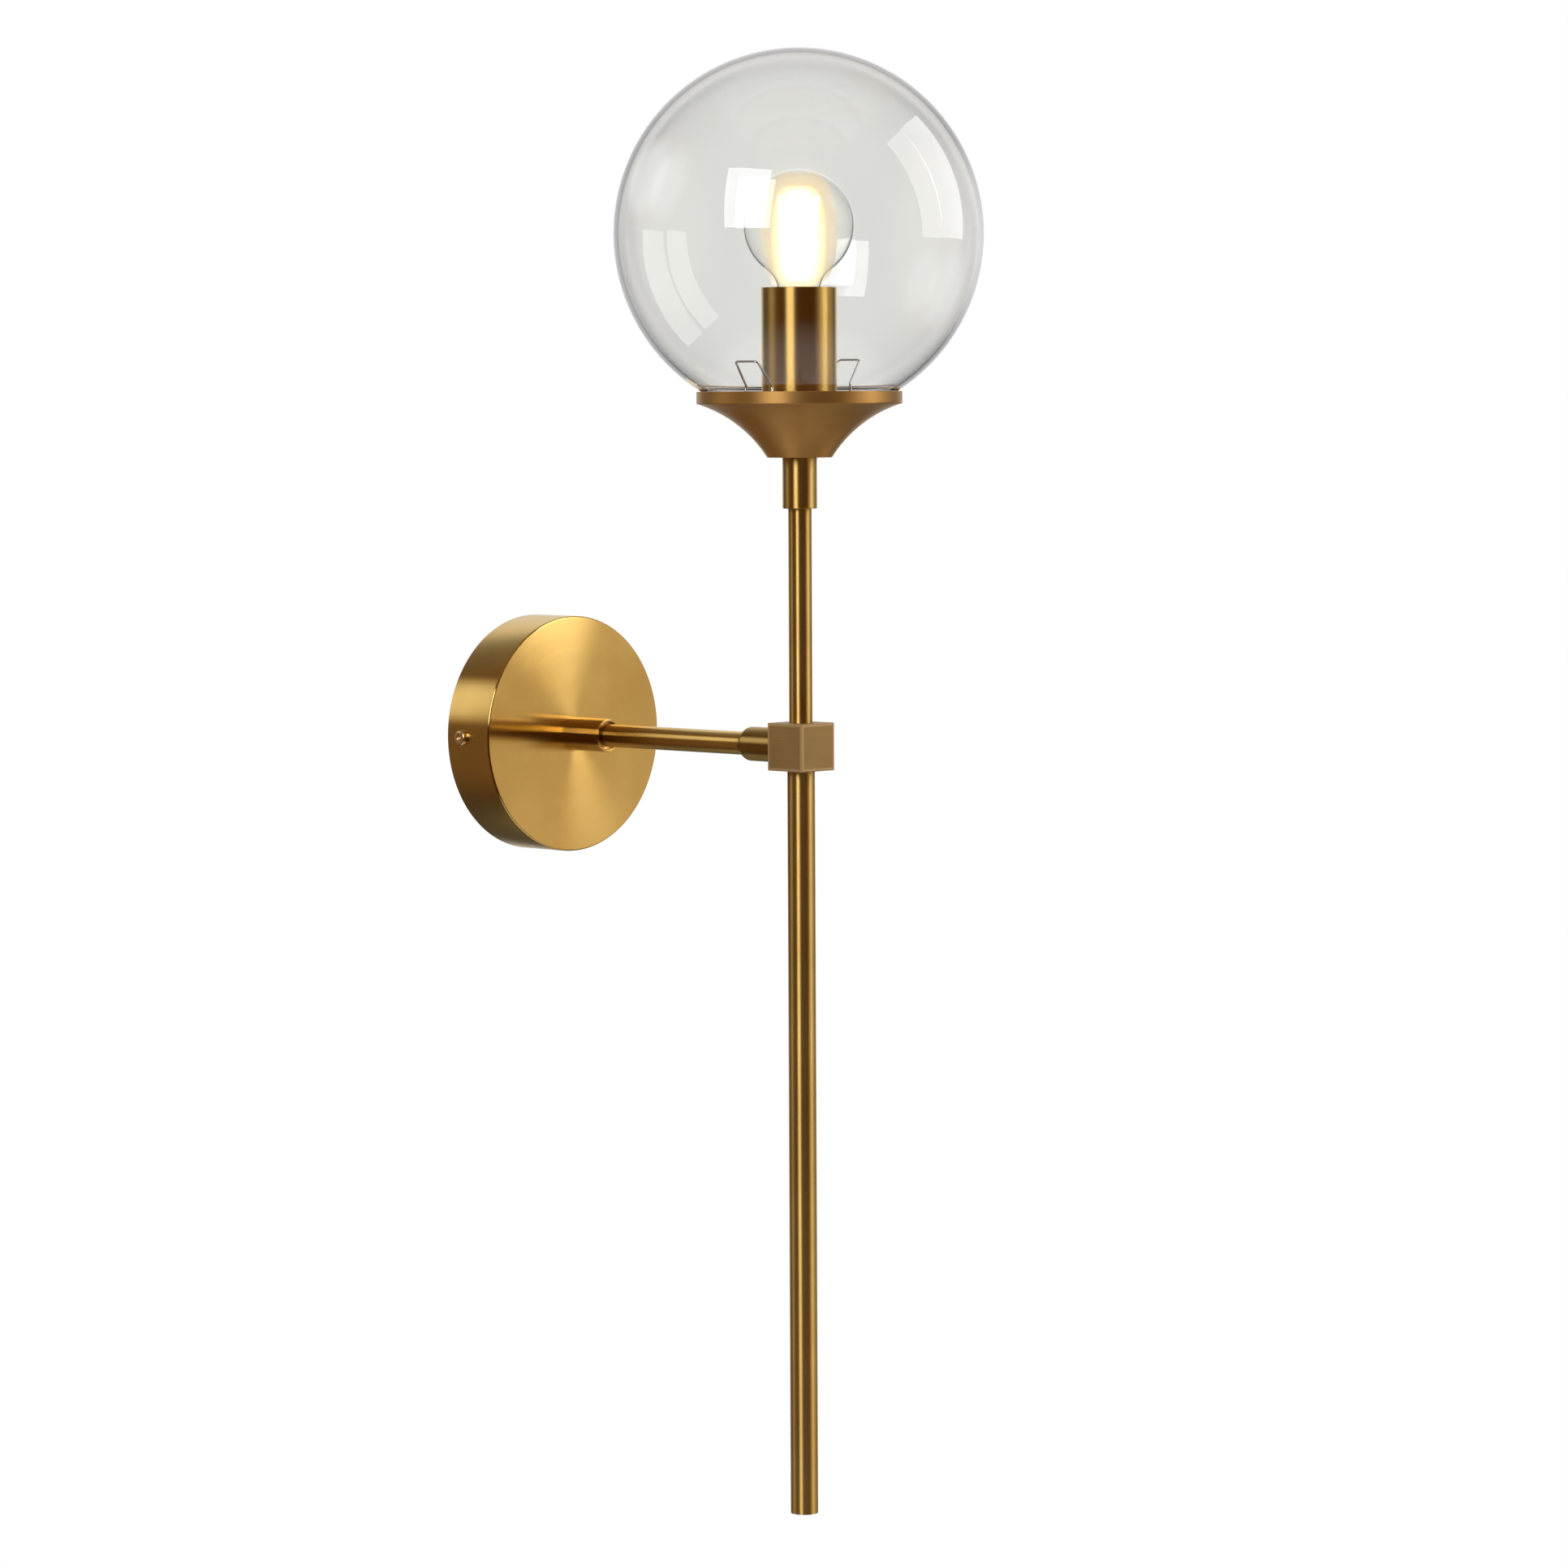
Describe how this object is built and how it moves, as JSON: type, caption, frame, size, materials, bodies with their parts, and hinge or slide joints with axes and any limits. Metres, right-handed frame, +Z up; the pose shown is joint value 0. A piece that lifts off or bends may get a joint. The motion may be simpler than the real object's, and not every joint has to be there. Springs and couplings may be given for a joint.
{
  "type": "globe wall sconce",
  "caption": "Wall light with a clear glass ball over a flared cup, on a long slim rod held off the wall by a round canopy and a straight arm.",
  "frame": {"origin": "on the wall plane, at the middle of the mounting plate, on the axis of the arm", "axes": "+X to the right seen from the room, +Z up along the rod, -Y out of the wall along the arm"},
  "size_m": [0.15, 0.233, 0.5991],
  "materials": {
    "canopy_brass": "satin antique brass, turned on the face and brushed round the side",
    "tube_brass": "satin antique brass, drawn along the tube",
    "block_brass": "satin antique brass, flat brushed",
    "cup_brass": "satin antique brass, spun",
    "bare_brass": "bright, unlacquered",
    "zinc_steel": "bright zinc plate",
    "clip_wire": "bright spring wire",
    "cap_nickel": "nickel plated",
    "globe_glass": "clear, blown",
    "lamp_glass": "clear",
    "filament": "yellow phosphor coat, lit",
    "gasket_rubber": "matt black",
    "holder_plastic": "black moulded resin",
    "insulator_black": "black glass bead",
    "terminal_plastic": "off-white moulded nylon",
    "live_cover": "brown wire cover",
    "neutral_cover": "blue wire cover",
    "earth_cover": "green and yellow wire cover"
  },
  "bodies": {
    "root": {"mounting_plate": "zinc_steel", "terminal_block": "terminal_plastic", "terminal_poles": "bare_brass", "terminal_screws": "zinc_steel", "terminal_fixing_screw": "zinc_steel", "earth_screw": "bare_brass", "earth_plate_tag": "zinc_steel", "earth_body_tag": "zinc_steel", "earth_wire": "earth_cover", "canopy": "canopy_brass", "canopy_screws": "canopy_brass", "canopy_nipple": "zinc_steel", "canopy_washer": "zinc_steel", "canopy_nut": "zinc_steel", "arm_base_collar": "tube_brass", "arm_tube": "tube_brass", "arm_end_collar": "tube_brass", "block_nipple": "zinc_steel", "cross_block": "block_brass", "upper_tube": "tube_brass", "stem_sleeve": "tube_brass", "lower_rod": "tube_brass", "rod_insert": "zinc_steel", "rod_stud": "zinc_steel", "rod_end_plug": "tube_brass", "stem_nipple": "zinc_steel", "cup_nut": "zinc_steel", "flared_cup": "cup_brass", "gallery_plate": "cup_brass", "glass_gasket": "gasket_rubber", "socket_cover": "tube_brass", "holder_base": "holder_plastic", "holder_body": "holder_plastic", "screw_shell": "bare_brass", "centre_contact": "bare_brass", "live_wire": "live_cover", "neutral_wire": "neutral_cover"},
    "globe": {"globe": "globe_glass"},
    "bulb_tip": {"bulb_insulator": "insulator_black", "bulb_tip": "cap_nickel"},
    "bulb": {"bulb_glass": "lamp_glass", "bulb_stem": "lamp_glass", "bulb_filaments": "filament", "filament_leads": "clip_wire", "bulb_cap": "cap_nickel"},
    "clip_right": {"clip_right": "clip_wire"},
    "clip_left": {"clip_left": "clip_wire"}
  },
  "joints": [
    {"name": "globe_lift", "type": "slide", "parent": "root", "child": "globe", "axis": [0, 0, 1], "range_m": [0, 0.11], "deforming": ["clip_left", "clip_right"]},
    {"name": "bulb_rise", "type": "slide", "parent": "root", "child": "bulb_tip", "axis": [0, 0, 1], "range_m": [0, 0.01412]},
    {"name": "bulb_turn", "type": "hinge", "parent": "bulb_tip", "child": "bulb", "pos_m": [0, -0.158, 0.16], "axis": [0, 0, 1], "range_deg": [0, 1800]},
    {"name": "clip_right_flex", "type": "hinge", "parent": "root", "child": "clip_right", "pos_m": [0.03278, -0.14922, 0.14095], "axis": [0.2588, -0.9659, 0], "range_deg": [0, 38], "stiffness_Nm_per_rad": 0.02},
    {"name": "clip_left_flex", "type": "hinge", "parent": "root", "child": "clip_left", "pos_m": [-0.03278, -0.16678, 0.14095], "axis": [-0.2588, 0.9659, 0], "range_deg": [0, 38], "stiffness_Nm_per_rad": 0.02}
  ],
  "couplings": [
    {"joint": "bulb_rise", "follows": "bulb_turn", "m_per_rad": 0.00044913}
  ]
}
